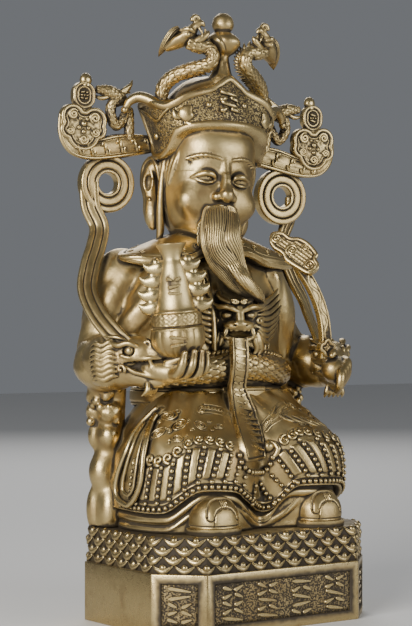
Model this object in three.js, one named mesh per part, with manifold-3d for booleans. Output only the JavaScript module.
// A seated God of Wealth cast in brass, on an eight-sided plinth. Millimetres, +Z up.
// The origin is the middle of the plinth's underside. The figure looks along -Y, and
// its right hand, which holds the treasure vase, is on the -X side.

import * as THREE from 'three';
import { mergeVertices } from 'three/addons/utils/BufferGeometryUtils.js';
import Module from 'manifold-3d';

const wasm = await Module();
wasm.setup();

// Driving sizes

const PLINTH_WIDTH = 198;
const PLINTH_DEPTH = 147;
const PLINTH_CHAMFER = 29;
const BLOCK_HEIGHT = 44;
const BAND_HEIGHT = 26;
const BAND_INSET = 3;
const SCALE_PITCH = 20;
const SCALE_ROWS = 3;
const SCALE_RISE = 2.2;
const PANEL_BORDER = 7;
const PANEL_SINK = 2;
const STROKE_WIDTH = 2.4;
const STROKE_RISE = 1.2;
const FRONT_GROUPS = 4;

// Strokes of one group: middle across and up, length and slant, none of which touch.
const STROKES = [
  [0, 0.33, 1.3, 0.16], [-0.5, 0, 0.75, -0.3], [0.5, 0.02, 0.7, 0.25], [-0.1, -0.33, 1.4, -0.12],
];

const FIGURE_HEIGHT = 389.7;
const FIT_GAP = 0.3;

const VASE_HEIGHT = 84;
const VASE_RADIUS = 20.3;
const RUYI_STEM_WIDTH = 9;
const RUYI_STEM_THICKNESS = 4.5;
const RUYI_HEAD_THICKNESS = 5;
const RING_RADIUS = 22.5;
const RING_HOLE = 8;
const RING_THICKNESS = 8;
const STREAMER_WIDTH = 15;
const STREAMER_THICKNESS = 5;
const WING_THICKNESS = 7;
const DRAGON_RADIUS = 5.2;

// The figure is drawn in shares of its own height: it is 390 shares high, and a height
// is counted from 70 shares below its soles. The head turns and leans a little.

const SHARES = 390;
const SOLE = 70;
const HEAD_AXIS_Y = 27;
const HEAD_PIVOT_Z = 285;
const HEAD_TURN = THREE.MathUtils.degToRad(-8);
const HEAD_LEAN = THREE.MathUtils.degToRad(2);
const FACE_PIVOT_Z = 374;
const FACE_TURN = THREE.MathUtils.degToRad(-4);
const FACE_LEAN = THREE.MathUtils.degToRad(3);

const share = FIGURE_HEIGHT / SHARES;
const up = new THREE.Vector3(0, 0, 1);
const forward = new THREE.Vector3(0, -1, 0);

function at(x, y, z) {
  return new THREE.Vector3(x, y, z - SOLE).multiplyScalar(share);
}

const headPlace = new THREE.Matrix4()
  .makeTranslation(at(0, HEAD_AXIS_Y, HEAD_PIVOT_Z))
  .multiply(new THREE.Matrix4().makeRotationZ(HEAD_TURN))
  .multiply(new THREE.Matrix4().makeRotationY(HEAD_LEAN));

// A point of the head, from the head's own axis, before the head is turned and leant.
function headAt(x, y, z) {
  return new THREE.Vector3(x, y, z - HEAD_PIVOT_Z).multiplyScalar(share).applyMatrix4(headPlace);
}

// Under the hat the face itself is turned and leant a little further.
const facePlace = headPlace.clone()
  .multiply(new THREE.Matrix4().makeTranslation(0, 0, (FACE_PIVOT_Z - HEAD_PIVOT_Z) * share))
  .multiply(new THREE.Matrix4().makeRotationZ(FACE_TURN))
  .multiply(new THREE.Matrix4().makeRotationY(FACE_LEAN));

function faceAt(x, y, z) {
  return new THREE.Vector3(x, y, z - FACE_PIVOT_Z).multiplyScalar(share).applyMatrix4(facePlace);
}

// Solids

function closed(points, triangles) {
  let volume = 0;
  for (const [a, b, c] of triangles) {
    volume += points[a].dot(new THREE.Vector3().crossVectors(points[b], points[c]));
  }
  const facing = volume < 0 ? triangles.map(([a, b, c]) => [a, c, b]) : triangles;
  const geometry = new THREE.BufferGeometry().setFromPoints(points);
  geometry.setIndex(facing.flat());
  return geometry;
}

function solid(geometry) {
  const bare = geometry.clone();
  bare.deleteAttribute('normal');
  bare.deleteAttribute('uv');
  const merged = mergeVertices(bare, 0.001);
  return new wasm.Manifold(new wasm.Mesh({
    numProp: 3,
    vertProperties: new Float32Array(merged.attributes.position.array),
    triVerts: new Uint32Array(merged.index.array),
  }));
}

function joined(list) {
  return list.reduce((sum, piece) => sum.add(piece));
}

// Rings of points, one above the other, skinned and closed by a fan at each end.
function skin(rings, splitsOther = () => false) {
  const count = rings[0].length;
  const points = rings.flat();
  const triangles = [];
  for (let r = 0; r + 1 < rings.length; r += 1) {
    for (let i = 0; i < count; i += 1) {
      const a = r * count + i;
      const b = r * count + (i + 1) % count;
      const c = b + count;
      const d = a + count;
      if (splitsOther(i, r)) {
        triangles.push([a, b, d], [b, c, d]);
      } else {
        triangles.push([a, b, c], [a, c, d]);
      }
    }
  }
  for (const [ring, flip] of [[0, true], [rings.length - 1, false]]) {
    const middle = new THREE.Vector3();
    rings[ring].forEach((point) => middle.add(point));
    points.push(middle.divideScalar(count));
    for (let i = 0; i < count; i += 1) {
      const a = ring * count + i;
      const b = ring * count + (i + 1) % count;
      triangles.push(flip ? [b, a, points.length - 1] : [a, b, points.length - 1]);
    }
  }
  return solid(closed(points, triangles));
}

// Values given at stations, read smoothly in between.
function between(stations, where) {
  const last = stations.length - 1;
  if (where <= stations[0][0]) {
    return stations[0].slice(1);
  }
  if (where >= stations[last][0]) {
    return stations[last].slice(1);
  }
  const next = stations.findIndex((station) => station[0] > where);
  const low = stations[next - 1];
  const high = stations[next];
  const t = (where - low[0]) / (high[0] - low[0]);
  return low.slice(1).map((value, i) => THREE.MathUtils.lerp(value, high[i + 1], t));
}

// A level ring in plan: half width, depth to the front and depth to the back.
function plan(width, front, back, squareness, angle) {
  const across = Math.abs(Math.sin(angle) / width);
  const along = Math.abs(Math.cos(angle) / (Math.cos(angle) > 0 ? front : back));
  const reach = (across ** squareness + along ** squareness) ** (-1 / squareness);
  return [reach * Math.sin(angle), -reach * Math.cos(angle)];
}

// Level rings through stations [height, width, front, back], about a middle line.
function turnedForm(stations, sides, squareness, place) {
  const rings = stations.map(([height, width, front, back]) => (
    Array.from({ length: sides }, (_, i) => {
      const [x, y] = plan(width, front, back, squareness, (i / sides) * 2 * Math.PI);
      return place(x, y, height);
    })
  ));
  return skin(rings);
}

// A section swept along a smooth line through points. The section's first direction is
// square to the line and to the guide, and its second is square to both. Each end may be
// drawn out by a stretch.
function swept(points, steps, guide, section, stretch = 0) {
  const curve = new THREE.CatmullRomCurve3(points, false, 'centripetal');
  const rings = [];
  for (let s = 0; s <= steps; s += 1) {
    const t = s / steps;
    const middle = curve.getPoint(t);
    const along = curve.getTangent(t);
    const side = new THREE.Vector3().crossVectors(along, guide).normalize();
    const lift = new THREE.Vector3().crossVectors(side, along);
    if (s === 0 || s === steps) {
      middle.addScaledVector(along, s === 0 ? -stretch : stretch);
    }
    rings.push(section(t).map(([a, b]) => (
      middle.clone().addScaledVector(side, a * share).addScaledVector(lift, b * share)
    )));
  }
  return skin(rings);
}

function oval(a, b, sides) {
  return Array.from({ length: sides }, (_, i) => {
    const angle = (i / sides) * 2 * Math.PI;
    return [a * Math.cos(angle), b * Math.sin(angle)];
  });
}

// A round limb whose radius changes through its points: each is [x, y, z, radius].
function limb(stations, steps, sides, place = at, guide = up, flat = 1, gap = 0) {
  const last = stations.length - 1;
  const radii = stations.map((station, i) => [i / last, station[3]]);
  return swept(stations.map(([x, y, z]) => place(x, y, z)), steps, guide, (t) => {
    const [radius] = between(radii, t);
    return oval(radius + gap, radius * flat + gap, sides);
  }, gap);
}

function ball(centre, radii, across = 12, down = 8, place = at) {
  const shape = new THREE.SphereGeometry(share, across, down);
  shape.rotateX(Math.PI / 2);
  shape.scale(...radii);
  shape.translate(...place(...centre));
  return solid(shape);
}

// A flat plate of an outline given in its own plane, with its middle at a place.
function plate(outline, thickness, middle, across, along) {
  const shape = new THREE.Shape(outline.map(([a, b]) => new THREE.Vector2(a * share, b * share)));
  const body = new THREE.ExtrudeGeometry(shape, { depth: thickness, bevelEnabled: false });
  body.translate(0, 0, -thickness / 2);
  const side = across.clone().normalize();
  const normal = new THREE.Vector3().crossVectors(side, along).normalize();
  const lift = new THREE.Vector3().crossVectors(normal, side);
  body.applyMatrix4(new THREE.Matrix4().makeBasis(side, lift, normal).setPosition(middle));
  return solid(body);
}

// Outline of overlapping round lobes about a middle: [x, y, radius] each.
function lobes(list, sides) {
  return Array.from({ length: sides }, (_, i) => {
    const angle = (i / sides) * 2 * Math.PI;
    const [dx, dy] = [Math.cos(angle), Math.sin(angle)];
    let reach = 1;
    for (const [x, y, radius] of list) {
      const along = x * dx + y * dy;
      const off = x * x + y * y - along * along;
      if (radius * radius > off) {
        reach = Math.max(reach, along + Math.sqrt(radius * radius - off));
      }
    }
    return [reach * dx, reach * dy];
  });
}

// Plinth

function octagon(inset) {
  const w = PLINTH_WIDTH / 2 - inset;
  const d = PLINTH_DEPTH / 2 - inset;
  const c = PLINTH_CHAMFER - inset * (2 - Math.SQRT2);
  return [[-w + c, -d], [w - c, -d], [w, -d + c], [w, d - c],
    [w - c, d], [-w + c, d], [-w, d - c], [-w, -d + c]];
}

// A sunken panel on one side of the block, with rows of short raised strokes in it.
function sunkenPanel(block, corner, nextCorner, groups) {
  const a = new THREE.Vector3(...corner, 0);
  const b = new THREE.Vector3(...nextCorner, 0);
  const length = a.distanceTo(b);
  const angle = Math.atan2(b.y - a.y, b.x - a.x);
  const middle = a.clone().add(b).multiplyScalar(0.5).setZ(BLOCK_HEIGHT / 2);
  const width = length - 2 * PANEL_BORDER;
  const height = BLOCK_HEIGHT - 2 * PANEL_BORDER;
  const bar = (x, z, w, h, depth, shift, slant = 0) => {
    const shape = new THREE.BoxGeometry(w, depth, h);
    shape.rotateY(slant);
    shape.translate(x, shift, z);
    shape.rotateZ(angle);
    shape.translate(middle.x, middle.y, middle.z);
    return solid(shape);
  };
  let result = block.subtract(bar(0, 0, width, height, 2 * PANEL_SINK, 0));
  const groupWidth = width / groups;
  const reach = Math.min(groupWidth, height) * 0.36;
  for (let g = 0; g < groups; g += 1) {
    const x = -width / 2 + groupWidth * (g + 0.5);
    const flip = g % 2 ? -1 : 1;
    for (const [dx, dz, long, slant] of STROKES) {
      const across = x + flip * dx * reach;
      const lift = dz * height * 0.8;
      result = result.add(
        bar(across, lift, long * reach, STROKE_WIDTH, 2 * STROKE_RISE, PANEL_SINK, flip * slant),
      );
    }
  }
  return result;
}

function plinthBlock() {
  const shape = new THREE.Shape(octagon(0).map(([x, y]) => new THREE.Vector2(x, y)));
  let block = solid(new THREE.ExtrudeGeometry(shape, { depth: BLOCK_HEIGHT, bevelEnabled: false }));
  const corners = octagon(0);
  block = sunkenPanel(block, corners[0], corners[1], FRONT_GROUPS);
  block = sunkenPanel(block, corners[1], corners[2], 1);
  return sunkenPanel(block, corners[7], corners[0], 1);
}

// The band's side is a quilt of lozenges: peaks and valleys take turns on a square net.
function plinthBand() {
  const corners = octagon(BAND_INSET);
  const outline = [];
  corners.forEach((corner, i) => {
    const a = new THREE.Vector2(...corner);
    const b = new THREE.Vector2(...corners[(i + 1) % corners.length]);
    const cells = 2 * Math.max(1, Math.round(a.distanceTo(b) / SCALE_PITCH));
    const out = new THREE.Vector2(b.y - a.y, a.x - b.x).normalize();
    for (let c = 0; c < cells; c += 1) {
      const point = a.clone().lerp(b, c / cells);
      outline.push({ point, out: c === 0 ? new THREE.Vector2() : out, odd: c % 2 === 1 });
    }
  });
  const rowCount = 2 * SCALE_ROWS;
  const rings = [];
  for (let row = 0; row <= rowCount; row += 1) {
    const z = BLOCK_HEIGHT + (BAND_HEIGHT * row) / rowCount;
    const edge = row === 0 || row === rowCount;
    rings.push(outline.map(({ point, out, odd }) => {
      const peak = !edge && odd === (row % 2 === 0);
      const spot = point.clone().addScaledVector(out, peak ? SCALE_RISE : 0);
      return new THREE.Vector3(spot.x, spot.y, z);
    }));
  }
  rings.unshift(rings[0].map((point) => point.clone().setZ(BLOCK_HEIGHT - 1)));
  return skin(rings, (i, r) => r > 0 && (i + r) % 2 === 0);
}

function plinth() {
  return plinthBlock().add(plinthBand());
}

// Robe and body

// Stations: height, half width, front, back, and the depth of the hollow between the knees.
const ROBE = [
  [SOLE, 87, 55, 64, 12],
  [84, 89, 60, 65, 16],
  [105, 89, 66, 66, 21],
  [124, 87, 66, 66, 22],
  [137, 82, 60, 64, 20],
  [149, 72, 44, 62, 12],
  [160, 62, 30, 60, 5],
  [172, 55, 18, 58, 0],
];
const ROBE_SQUARENESS = 3;
const FRONT_LINES = 29;
const FRONT_REACH = 1.45;
const BACK_LINES = 7;
const HEM_HEIGHT = 91;
const HEM_ARCH = 15;
const SHOE_ANGLE = 0.72;
const HEM_RISE = 1.6;
const STRING_TOP = 138;
const STRING_RISE = 1.6;
const WAIST = 172;

function robeAt(angle, height, out = 0) {
  const [width, front, back, hollow] = between(ROBE, height);
  const [x, y] = plan(width, front, back, ROBE_SQUARENESS, angle);
  const reach = Math.hypot(x, y);
  const wrapped = Math.atan2(Math.sin(angle), Math.cos(angle));
  const held = (reach - hollow * Math.exp(-((wrapped / 0.34) ** 2)) + out) / reach;
  return [x * held, y * held, height];
}

function hemHeight(angle) {
  const wrapped = Math.abs(Math.atan2(Math.sin(angle), Math.cos(angle)));
  return HEM_HEIGHT + HEM_ARCH * Math.exp(-(((wrapped - SHOE_ANGLE) / 0.3) ** 2));
}

// The robe's net is close in front, where raised strings run down it as every second
// line, and wide behind.
function robeAngles() {
  const close = Array.from({ length: FRONT_LINES }, (_, i) => (
    THREE.MathUtils.lerp(-FRONT_REACH, FRONT_REACH, i / (FRONT_LINES - 1))
  ));
  const wide = Array.from({ length: BACK_LINES }, (_, i) => (
    THREE.MathUtils.lerp(FRONT_REACH, 2 * Math.PI - FRONT_REACH, (i + 1) / (BACK_LINES + 1))
  ));
  return [...close, ...wide];
}

function stringRise(column, angle, height) {
  const onKnee = column < FRONT_LINES && Math.abs(angle) > 0.25;
  return onKnee && column % 2 === 0 && height < STRING_TOP ? STRING_RISE : 0;
}

function robeForm() {
  const angles = robeAngles();
  const under = [SOLE, 84, 112].map((height) => (
    angles.filter((_, i) => i % 3 === 0).map((angle, i) => {
      const wave = height < 112 ? 1.4 * (i % 2) : 0;
      return at(...robeAt(angle, height, wave - (height === SOLE ? 2 : 7)));
    })
  ));
  const over = [0, 0.08, 0.1, 0.4, 0.57, 0.77, 1].map((t, row) => (
    angles.map((angle, i) => {
      const low = hemHeight(angle);
      const height = low + t * (WAIST - low);
      return at(...robeAt(angle, height, row < 2 ? HEM_RISE : stringRise(i, angle, height)));
    })
  ));
  return skin(under).add(skin(over));
}

const TORSO_Y = 27;
const TORSO = [
  [160, 54, 40, 38],
  [171, 54, 42, 38],
  [190, 57, 46, 40],
  [232, 60, 39, 42],
  [254, 60, 32, 43],
  [268, 54, 26, 38],
  [284, 28, 15, 22],
];
const BELT = [
  [159, 56, 43, 39],
  [161, 60, 47, 42],
  [173, 60, 47, 42],
  [175, 56, 43, 39],
];
const COLLAR = [
  [265, 58, 24, 34],
  [268, 79, 33, 43],
  [273, 78, 33, 43],
  [284, 50, 27, 32],
  [292, 23, 18, 22],
];

function body() {
  const standing = (x, y, z) => at(x, y + TORSO_Y, z);
  const parts = [
    turnedForm(TORSO, 12, 2.6, standing),
    turnedForm(BELT, 12, 2.6, standing),
    turnedForm(COLLAR, 12, 2.3, standing),
    ball([0, -13, 222], [17, 11, 15], 8, 6),
    ball([-17, -10, 226], [14, 8, 12], 7, 5),
    ball([17, -10, 226], [14, 8, 12], 7, 5),
    limb([[-9, -18, 232, 3], [-12, -17, 241, 2.4], [-15, -12, 247, 1.2]], 3, 5),
    limb([[9, -18, 232, 3], [12, -17, 241, 2.4], [15, -12, 247, 1.2]], 3, 5),
  ];
  return joined(parts);
}

// The long ribbon from the chest mask down to the lap.
const RIBBON_WIDTH = 14;
const RIBBON_SPREAD = 0.5;
const RIBBON_THICKNESS = 4;

function chestRibbon() {
  const path = [[-1, -19, 210], [-4, -22, 190], [-6, -23, 168], [-7, -34, 147], [-9, -45, 124],
    [-9, -47, 113]];
  return swept(path.map((p) => at(...p)), 6, forward, (t) => {
    const w = (RIBBON_WIDTH * (1 + RIBBON_SPREAD * t)) / 2;
    const h = RIBBON_THICKNESS / 2;
    return [[-w, -h], [w, -h], [w, h], [-w, h]];
  });
}

// Sleeves, hands and side drapery

const SHOULDER = [[60, 44, 256], [24, 22, 21]];
const RIGHT_UPPER = [[-66, 46, 257, 20], [-72, 47, 234, 23], [-84, 42, 203, 19]];
const RIGHT_FORE = [[-90, 38, 196, 15], [-94, 28, 193, 20], [-93, 13, 193, 19], [-90, 2, 194, 14]];
const RIGHT_CUFF = [[-94, 8, 195, 13], [-89, -4, 196, 15], [-82, -15, 197, 13], [-75, -25, 198, 9]];
const RIGHT_JAW = [[-90, 0, 188, 9], [-81, -16, 184, 7], [-75, -27, 184, 4]];
const LEFT_UPPER = [[65, 46, 256, 20], [71, 47, 232, 22], [84, 38, 203, 19]];
const LEFT_FORE = [[88, 36, 196, 15], [94, 27, 193, 20], [98, 12, 191, 19], [98, 1, 190, 15]];
const LEFT_CUFF = [[100, 6, 191, 14], [98, -6, 192, 16], [93, -18, 192, 14], [86, -28, 191, 9]];
const LEFT_JAW = [[98, -2, 183, 9], [92, -18, 179, 7], [88, -30, 179, 4]];
const SLEEVE_FRONT = [[50, 12, 258, 13], [60, 20, 234, 17], [70, 30, 206, 16]];

function arms() {
  return [
    ball([-SHOULDER[0][0], SHOULDER[0][1], SHOULDER[0][2]], SHOULDER[1], 9, 6),
    ball(SHOULDER[0], SHOULDER[1], 9, 6),
    limb(RIGHT_UPPER, 3, 8),
    limb(RIGHT_FORE, 3, 8),
    limb(RIGHT_CUFF, 3, 7),
    limb(RIGHT_JAW, 2, 5),
    limb(LEFT_UPPER, 3, 8),
    limb(LEFT_FORE, 3, 8),
    limb(LEFT_CUFF, 3, 7),
    limb(LEFT_JAW, 2, 5),
    limb(SLEEVE_FRONT, 2, 7),
    limb(SLEEVE_FRONT.map(([x, y, z, r]) => [-x, y, z, r]), 2, 7),
  ];
}

// Fingers of the right hand, up round the front of the vase: knuckle, bend and tip of each.
const RIGHT_FINGERS = [
  [[-75, -34, 186, 4], [-77, -46, 186, 3.6], [-77, -52, 193, 3.2], [-75, -52, 201, 2.2]],
  [[-70, -32, 187, 5], [-70, -46, 186, 3.8], [-70, -54, 192, 3.2], [-67, -53, 202, 2.2]],
  [[-62, -37, 187, 4], [-62, -48, 185, 3.6], [-62, -53, 192, 3.2], [-60, -52, 202, 2.2]],
  [[-57, -36, 188, 4], [-54, -44, 187, 3.4], [-53, -48, 192, 3], [-52, -47, 201, 2]],
];

function hands() {
  const pieces = [
    limb([[-80, -18, 189, 9], [-72, -30, 187, 11], [-62, -38, 190, 9]], 2, 7, at, up, 0.8),
    limb([[92, -20, 187, 10], [82, -34, 186, 12], [70, -44, 187, 10]], 2, 7, at, up, 0.95),
  ];
  for (let f = 0; f < 4; f += 1) {
    const across = f * 5.2;
    pieces.push(limb(RIGHT_FINGERS[f], 3, 4, at, forward));
    pieces.push(limb([
      [86 - across * 1.05, -38 - across * 0.55, 194, 3.4],
      [80 - across * 1.05, -49 - across * 0.4, 192, 3.4],
      [78 - across * 1.05, -50 - across * 0.35, 183, 3.4],
      [82 - across * 1.05, -42 - across * 0.4, 178, 3],
    ], 2, 4, at, forward));
  }
  return pieces;
}

// Folded cloth hanging behind each elbow in three swellings, down to the plinth.
const FALL_DEPTH = 1.7;
const SIDE_FALL = [
  [-86, 33, 182, 13], [-86, 33, 168, 12], [-85, 34, 155, 14], [-83, 35, 144, 11],
  [-82, 36, 130, 15], [-80, 37, 115, 12], [-80, 37, 98, 15], [-80, 38, 84, 12], [-82, 38, SOLE, 14],
];

function sideFalls() {
  const pieces = [];
  for (const side of [-1, 1]) {
    const mirrored = SIDE_FALL.map(([x, y, z, r]) => [-side * x, y, z, r]);
    pieces.push(limb(mirrored, 10, 6, at, forward, FALL_DEPTH));
    const loop = [[80, -4, 160, 1], [87, -8, 140, 3.5], [91, -12, 118, 7], [91, -14, 100, 9.5],
      [89, -14, 90, 8], [86, -14, 85, 3]];
    pieces.push(limb(loop.map(([x, y, z, r]) => [side * x, y, z, r]), 4, 5, at, forward, 0.45));
  }
  return pieces;
}

// Shoes: round toe caps on flat soles.
const SHOE_X = 48.5;
const SHOE_Y = -49;

function shoes() {
  const pieces = [];
  const cap = [
    [SOLE, 20, 20, 14], [75, 20.5, 21, 14], [76, 18.5, 19, 14], [86, 18, 17.5, 13],
    [94, 13, 12.5, 10], [99.5, 4, 4, 4],
  ];
  for (const side of [-1, 1]) {
    const standing = (x, y, z) => at(x + side * SHOE_X, y + SHOE_Y, z);
    pieces.push(turnedForm(cap, 12, 2.4, standing));
  }
  return pieces;
}

// Head, beard and hat, all drawn about the head's own axis

const HEAD = [
  [282, 12, 20, 4], [288, 21, 31, 16], [298, 29, 37, 28], [312, 33.5, 39.5, 35],
  [328, 35.5, 39.5, 39], [344, 36, 39, 40], [360, 36, 37, 40], [374, 34, 34, 38],
];
const HAT = [
  [352, 36, 20, 42], [358, 39, 36, 45], [372, 40, 40, 45], [386, 37, 36, 42],
  [398, 30, 30, 36], [407, 21, 27, 27], [412, 12, 22, 14],
];
const FINIAL_Y = -18.4;
const FINIAL = [
  [0, 398], [13, 402], [11, 409], [7.5, 415], [5.6, 424], [5.8, 428], [10, 431], [14.2, 437],
  [12.5, 442], [7, 446], [6, 446.6], [8, 450], [8.4, 453], [7, 457.5], [3.5, 460.6], [0, 461.2],
];

function head() {
  const pieces = [
    limb([[0, 30, 276, 22], [0, 30, 300, 21]], 1, 9, at, forward),
    turnedForm(HEAD, 12, 2.2, faceAt),
    limb([[0, -36, 344, 2.5], [0, -40, 332, 3.6], [0, -44, 320, 5.6], [0, -40, 313, 4.5]], 3, 5,
      faceAt, forward),
  ];
  for (const side of [-1, 1]) {
    pieces.push(limb([[side * 5, -37.5, 341, 1], [side * 15, -35.5, 345, 2], [side * 26, -27, 342, 1]],
      2, 4, faceAt));
    pieces.push(limb([[side * 7, -37, 331, 1], [side * 15, -35, 333, 3.4], [side * 24, -29, 331, 1]],
      2, 4, faceAt));
    pieces.push(limb([
      [side * 35, 4, 339, 3], [side * 40, 10, 342, 4.5], [side * 41, 15, 331, 6],
      [side * 39, 11, 316, 5], [side * 38, 9, 302, 6.8], [side * 36, 9, 293, 3],
    ], 5, 4, faceAt, forward));
    pieces.push(limb([
      [side * 34, -6, 350, 2.4], [side * 36, -4, 330, 2.4], [side * 35.5, -2, 312, 2.4],
      [side * 33, 2, 290, 2.4], [side * 34, 4, 272, 2],
    ], 3, 3, faceAt, forward));
  }
  return pieces;
}

// The beard falls from the chin and sweeps to the figure's left, with ridged strands.
const BEARD = [
  [-9, -14, 308, 14, 6], [-11.5, -17, 296, 16, 9], [-11.5, -19, 282, 16.5, 10], [-8.5, -21, 268, 15, 9],
  [-2, -23, 256, 12.5, 8], [7, -24.5, 246, 9, 6.5], [19, -25, 238, 3, 3],
];

const BEARD_EDGES = 12;

function beard() {
  const rings = BEARD.map(([x, y, z, width, depth]) => (
    Array.from({ length: BEARD_EDGES }, (_, i) => {
      const angle = (i / BEARD_EDGES) * 2 * Math.PI;
      const reach = i % 2 ? 0.88 : 1;
      return at(x - 3 + width * reach * Math.cos(angle), y + 4 + depth * reach * Math.sin(angle), z);
    })
  ));
  const moustache = [-1, 1].map((side) => limb([
    [side * 2, -42, 310, 2.2], [side * 9, -41, 307, 3], [side * 15, -36, 298, 3], [side * 16, -35, 284, 2],
  ], 2, 4, faceAt, forward));
  return [skin(rings), ...moustache];
}

// The hat's front plate: heights of its top and bottom edge against the angle from the front.
const PLATE_TOP = [
  [0, 408.5], [0.25, 406], [0.5, 401], [0.62, 398.5], [0.85, 397.5], [1.1, 392], [1.3, 388.5],
  [1.45, 389.5], [1.62, 392], [1.74, 389],
];
const PLATE_BOTTOM = [
  [0, 371], [0.45, 370.5], [0.8, 368], [0.95, 362], [1.1, 352], [1.25, 346.5], [1.42, 346.5],
  [1.58, 351], [1.74, 380],
];
const PLATE_RADIUS = 43;
const PLATE_THICKNESS = 4;
const PLATE_RIM = 3.5;
const PLATE_RIM_RISE = 1.8;

function frontPlate() {
  const reach = (angle, height, out) => {
    const round = THREE.MathUtils.smoothstep(Math.abs(angle), 0.4, 1.5);
    const lean = THREE.MathUtils.lerp(-0.22, 0.4, round);
    const radius = PLATE_RADIUS + lean * (height - 360) + out;
    return headAt(radius * Math.sin(angle), -radius * Math.cos(angle), height);
  };
  const columns = 18;
  const rings = [];
  for (let i = 0; i <= columns; i += 1) {
    const angle = -1.74 + (3.48 * i) / columns;
    const [top] = between(PLATE_TOP, Math.abs(angle));
    const [bottom] = between(PLATE_BOTTOM, Math.abs(angle));
    const inner = PLATE_THICKNESS * -0.75;
    const outer = PLATE_THICKNESS * 0.25;
    const rim = Math.min(PLATE_RIM, (top - bottom) * 0.2);
    rings.push([
      reach(angle, bottom, inner),
      reach(angle, bottom, outer + PLATE_RIM_RISE),
      reach(angle, bottom + rim, outer),
      reach(angle, top - rim, outer),
      reach(angle, top, outer + PLATE_RIM_RISE),
      reach(angle, top, inner),
    ]);
  }
  return skin(rings);
}

function hat() {
  const finial = new THREE.LatheGeometry(
    FINIAL.map(([radius, height]) => new THREE.Vector2(radius * share, height * share)), 9,
  );
  finial.rotateX(Math.PI / 2);
  finial.translate(0, FINIAL_Y * share, -HEAD_PIVOT_Z * share);
  finial.applyMatrix4(headPlace);
  const pieces = [
    turnedForm(HAT, 12, 2.2, headAt),
    solid(finial),
    frontPlate(),
    limb([[0, -32, 391, 8.5], [0, -33, 391, 8]], 1, 8, headAt, up),
  ];
  for (const side of [-1, 1]) {
    pieces.push(limb([
      [side * 48, -9, 385, 3.5], [side * 53, -4, 390.5, 4], [side * 60, 1, 393, 4],
      [side * 66, 4, 390, 3.2], [side * 69, 6, 384.5, 1.5],
    ], 4, 5, headAt, up));
  }
  return pieces;
}

// Treasure vase, heaped with boat-shaped ingots

const VASE_FOOT = [-66, -33, 197];
const VASE_LEAN_X = THREE.MathUtils.degToRad(-5.5);
const VASE_PROFILE = [
  [0, 0], [0.42, 0], [0.7, 0.04], [0.93, 0.11], [1, 0.19], [0.95, 0.26], [0.86, 0.285], [0.92, 0.3],
  [0.92, 0.38], [0.82, 0.41], [0.66, 0.47], [0.55, 0.58], [0.46, 0.7], [0.33, 0.82], [0.3, 0.88],
  [0.42, 0.94], [0.56, 1], [0, 1],
];
const INGOTS = [
  [-1, 0.45, 0.76], [1, 0.46, 0.8], [-1, 0.58, 0.76], [1, 0.61, 0.7], [-1, 0.76, 0.62], [1, 0.77, 0.54],
];

function vase(gap) {
  const profile = VASE_PROFILE.map(([r, h]) => (
    new THREE.Vector2(r === 0 ? 0 : r * VASE_RADIUS + gap, h * (VASE_HEIGHT + 2 * gap) - gap)
  ));
  const bowl = new THREE.LatheGeometry(profile, 12);
  bowl.rotateX(Math.PI / 2);
  const pieces = [bowl];
  for (const [side, height, reach] of INGOTS) {
    const ingot = new THREE.CylinderGeometry(
      VASE_RADIUS * 0.36 + gap, VASE_RADIUS * 0.2 + gap, VASE_RADIUS * 0.36 + gap, 6,
    );
    ingot.rotateX(Math.PI / 2);
    ingot.rotateY(side * 0.35);
    ingot.translate(side * reach * VASE_RADIUS, 0, height * VASE_HEIGHT);
    pieces.push(ingot);
  }
  return joined(pieces.map((shape) => {
    shape.rotateZ(-0.6);
    shape.rotateY(VASE_LEAN_X);
    shape.translate(...at(...VASE_FOOT));
    return solid(shape);
  }));
}

// Ruyi sceptre

const RUYI_HEAD = [38, -37, 277];
const RUYI_END = [61, -46.5, 202];
const RUYI_OUTLINE = [
  [-18.3, 9], [-18, 12.5], [-15.6, 17], [-7.5, 16.8], [-2, 11.8], [4.7, 10.4], [11.5, 5.2], [17, -4.2],
  [15.4, -8.5], [17, -13], [15.6, -17.3], [8.5, -20.5], [0.7, -15], [-7.5, -7.4], [-10.2, -1.2],
  [-15.6, 3.8],
];
const RUYI_PATH = [
  [37, -37, 273], [43, -37, 265], [53, -40, 249], [59, -43, 232], [61, -45, 214], [61, -44, 196],
];

function ruyiStem(gap) {
  return swept(RUYI_PATH.map((p) => at(...p)), 8, forward, () => {
    const w = (RUYI_STEM_WIDTH / 2 + gap) / share;
    const h = (RUYI_STEM_THICKNESS / 2 + gap) / share;
    return [[-w, -h], [w, -h], [w, h * 0.4], [w * 0.5, h], [-w * 0.5, h], [-w, h * 0.4]];
  }, gap);
}

function ruyi() {
  const across = new THREE.Vector3(0.8, -0.6, 0.1);
  const along = new THREE.Vector3(0.25, 0.3, 0.9);
  const headPlate = plate(RUYI_OUTLINE, RUYI_HEAD_THICKNESS, at(...RUYI_HEAD), across, along);
  const small = lobes([[0, 0, 5], [-4, 2, 4], [4, 2, 4], [0, 5, 4]], 12);
  const end = plate(small, RUYI_HEAD_THICKNESS, at(...RUYI_END), new THREE.Vector3(1, 0, 0), up);
  return joined([headPlate, end, ruyiStem(0)]);
}

// Hat wings with ribbon rings and streamers. side is -1 for the figure's right.

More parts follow.
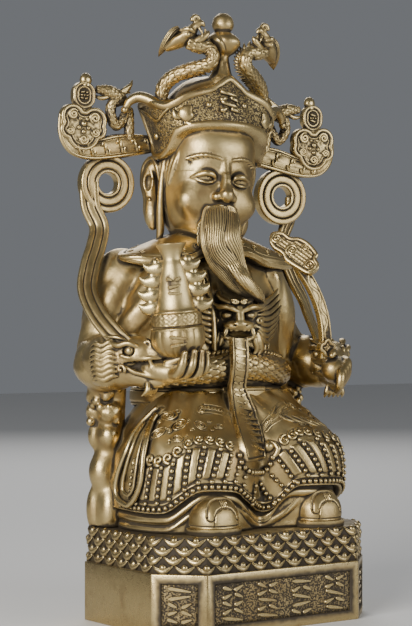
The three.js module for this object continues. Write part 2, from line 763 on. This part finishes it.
const RING_AT = [77, 19, 327];
const CLOUD_AT = [101.5, 13, 369];
const GOURD_AT = [101, 14.5, 392];
const BAR_PATH = [
  [34, 21, 361, 6], [50, 19, 359, 8], [70, 17, 356, 9.5], [90, 15, 351, 7.5], [108, 13, 350, 5],
  [121, 12, 359, 2.5],
];
const STREAMERS = {
  '-1': [[-87, 58, 330], [-86, 57, 312], [-81, 53, 296], [-88, 46, 281], [-97, 40, 266],
    [-104, 33, 248], [-105, 18, 230], [-101, 1, 214], [-96, -8, 205]],
  1: [[92, 36, 324], [91, 37, 308], [85, 37, 294], [85, 36, 277], [92, 34, 258],
    [97, 28, 243], [97, 20, 229], [96, 10, 215], [94, 3, 206]],
};

function wingBar(side, gap) {
  const path = BAR_PATH.map(([x, y, z, r]) => [side * x, y, z, r]);
  return limb(path, 6, 7, headAt, forward, 0.5, gap);
}

function streamer(side, gap) {
  const path = STREAMERS[side].map((p) => at(...p));
  return swept(path, 10, new THREE.Vector3(0.4 * side, -0.9, 0), () => {
    const w = (STREAMER_WIDTH / 2 + gap) / share;
    const h = (STREAMER_THICKNESS / 2 + gap) / share;
    return [[-w, -h], [w, -h], [w, h], [w * 0.33, h * 0.4], [0, h], [-w * 0.33, h * 0.4], [-w, h]];
  }, gap);
}

function ribbonRing(side) {
  const half = RING_THICKNESS / 2;
  const strip = (RING_RADIUS - RING_HOLE) / 3;
  const profile = [[RING_HOLE, -half], [RING_RADIUS, -half], [RING_RADIUS, half * 0.6]];
  for (let s = 2; s >= 0; s -= 1) {
    profile.push([RING_HOLE + strip * (s + 0.5), half]);
    profile.push([RING_HOLE + strip * s, half * 0.6]);
  }
  const points = [...profile, profile[0]].map(([r, h]) => new THREE.Vector2(r, -h));
  const ring = new THREE.LatheGeometry(points.reverse(), 12);
  ring.translate(side * RING_AT[0] * share, RING_AT[1] * share, (RING_AT[2] - HEAD_PIVOT_Z) * share);
  ring.applyMatrix4(headPlace);
  return solid(ring);
}

function wing(side) {
  const [cx, cy, cz] = CLOUD_AT;
  const [gx, gy, gz] = GOURD_AT;
  const across = headAt(side, 0, 0).sub(headAt(0, 0, 0));
  const along = headAt(0, 0, 1).sub(headAt(0, 0, 0));
  const lobed = lobes(
    [[0, -3, 14], [-9, 4, 10], [9, 6, 9.5], [0, -6, 13.5], [-12, -3, 7], [12, -4, 7]], 20,
  );
  const cloud = plate(lobed, WING_THICKNESS, headAt(side * cx, cy, cz), across, along);
  const disc = plate(oval(9, 11, 12), WING_THICKNESS, headAt(side * gx, gy, gz), across, along);
  const knob = ball([side * (gx - 2), gy, gz + 12], [5, 3.5, 5.5], 8, 6, headAt);
  const serpent = limb([
    [side * 60, 17, 362, 3.6], [side * 61, 16, 376, 3.6], [side * 62, 16, 384, 3.4],
    [side * 67, 16, 376, 3.6], [side * 72, 16, 372, 3.8], [side * 77, 15, 379, 3.8],
    [side * 76, 15, 388, 3.8], [side * 69, 15, 392, 4.4], [side * 72, 15, 394, 5],
    [side * 80, 15, 397, 4.6], [side * 90, 15, 398, 2.2],
  ], 12, 4, headAt, forward);
  return joined([wingBar(side, 0), cloud, disc, knob, serpent, ribbonRing(side), streamer(side, 0)]);
}

// The two dragons that rise from the sides of the hat

const HAT_DRAGON = [
  [36, -2, 382, 0.7], [43, -4, 391, 0.85], [43, -6, 402, 1], [37, -12, 410, 1], [27, -20, 415, 1],
  [17, -28, 419, 0.95], [14, -30, 425, 0.95], [18, -29, 431, 0.95], [26, -27.5, 432, 1],
  [34, -25.5, 434, 0.8],
];
const HAT_DRAGON_HEAD = [
  [50, -11, 424, 1.5], [43, -18, 429, 5.5], [36, -24, 436, 7], [32, -27, 442, 6], [29, -29, 447, 3.6],
];

function dragonBody(side, gap) {
  const path = HAT_DRAGON.map(([x, y, z, r]) => [side * x, y, z, r * DRAGON_RADIUS]);
  return limb(path, 12, 5, headAt, new THREE.Vector3(-0.6 * side, -0.75, 0), 1, gap);
}

function hatDragon(side) {
  const sided = (list) => list.map(([x, y, z, r]) => [side * x, y, z, r]);
  const curl = [[31, -27, 443, 2.4], [33, -26, 448, 2.6], [34, -25, 451, 3], [35, -24, 454, 1.5]];
  const jaw = [[30, -27, 433, 3.6], [25, -30, 439, 3.2], [22, -32, 442, 1.6]];
  return joined([
    dragonBody(side, 0),
    limb(sided(HAT_DRAGON_HEAD), 5, 7, headAt, new THREE.Vector3(-0.6 * side, -0.75, 0), 0.6),
    limb(sided(jaw), 2, 6, headAt),
    limb(sided(curl), 3, 5, headAt, forward),
  ]);
}

// The casting, with a socket for each piece that is brazed on or held

function figure() {
  const cast = joined([
    robeForm(), body(), chestRibbon(), ...arms(), ...hands(), ...sideFalls(), ...shoes(),
    ...head(), ...beard(), ...hat(),
  ]);
  const floor = new THREE.BoxGeometry(2 * PLINTH_WIDTH, 2 * PLINTH_DEPTH, 60);
  floor.translate(0, 0, -30);
  let result = cast.subtract(solid(floor));
  result = result.subtract(vase(FIT_GAP));
  result = result.subtract(ruyiStem(FIT_GAP));
  for (const side of [-1, 1]) {
    result = result.subtract(wingBar(side, FIT_GAP));
    result = result.subtract(streamer(side, FIT_GAP));
    result = result.subtract(dragonBody(side, FIT_GAP));
  }
  return result;
}

// Materials and the whole

function brass(colour, roughness) {
  return new THREE.MeshStandardMaterial({ color: colour, roughness, metalness: 1 });
}

const agedBrass = 0x9a7a42;
const rubbedBrass = 0xb8985a;
const dullBrass = 0x86683a;

const whole = new THREE.Group();
const statue = new THREE.Group();
statue.position.z = BLOCK_HEIGHT + BAND_HEIGHT + FIT_GAP;
whole.add(statue);

function place(name, manifold, material, group) {
  const made = manifold.getMesh();
  const geometry = new THREE.BufferGeometry();
  geometry.setAttribute('position', new THREE.BufferAttribute(new Float32Array(made.vertProperties), 3));
  geometry.setIndex(new THREE.BufferAttribute(new Uint32Array(made.triVerts), 1));
  geometry.computeVertexNormals();
  const mesh = new THREE.Mesh(geometry, material);
  mesh.name = name;
  group.add(mesh);
}

place('plinth', plinth(), brass(agedBrass, 0.42), whole);
place('figure', figure(), brass(agedBrass, 0.38), statue);
place('vase', vase(0), brass(rubbedBrass, 0.35), statue);
place('ruyi', ruyi(), brass(dullBrass, 0.42), statue);
place('hat_wing_right', wing(-1), brass(agedBrass, 0.4), statue);
place('hat_wing_left', wing(1), brass(agedBrass, 0.4), statue);
place('hat_dragon_right', hatDragon(-1), brass(agedBrass, 0.42), statue);
place('hat_dragon_left', hatDragon(1), brass(agedBrass, 0.42), statue);

export default whole;
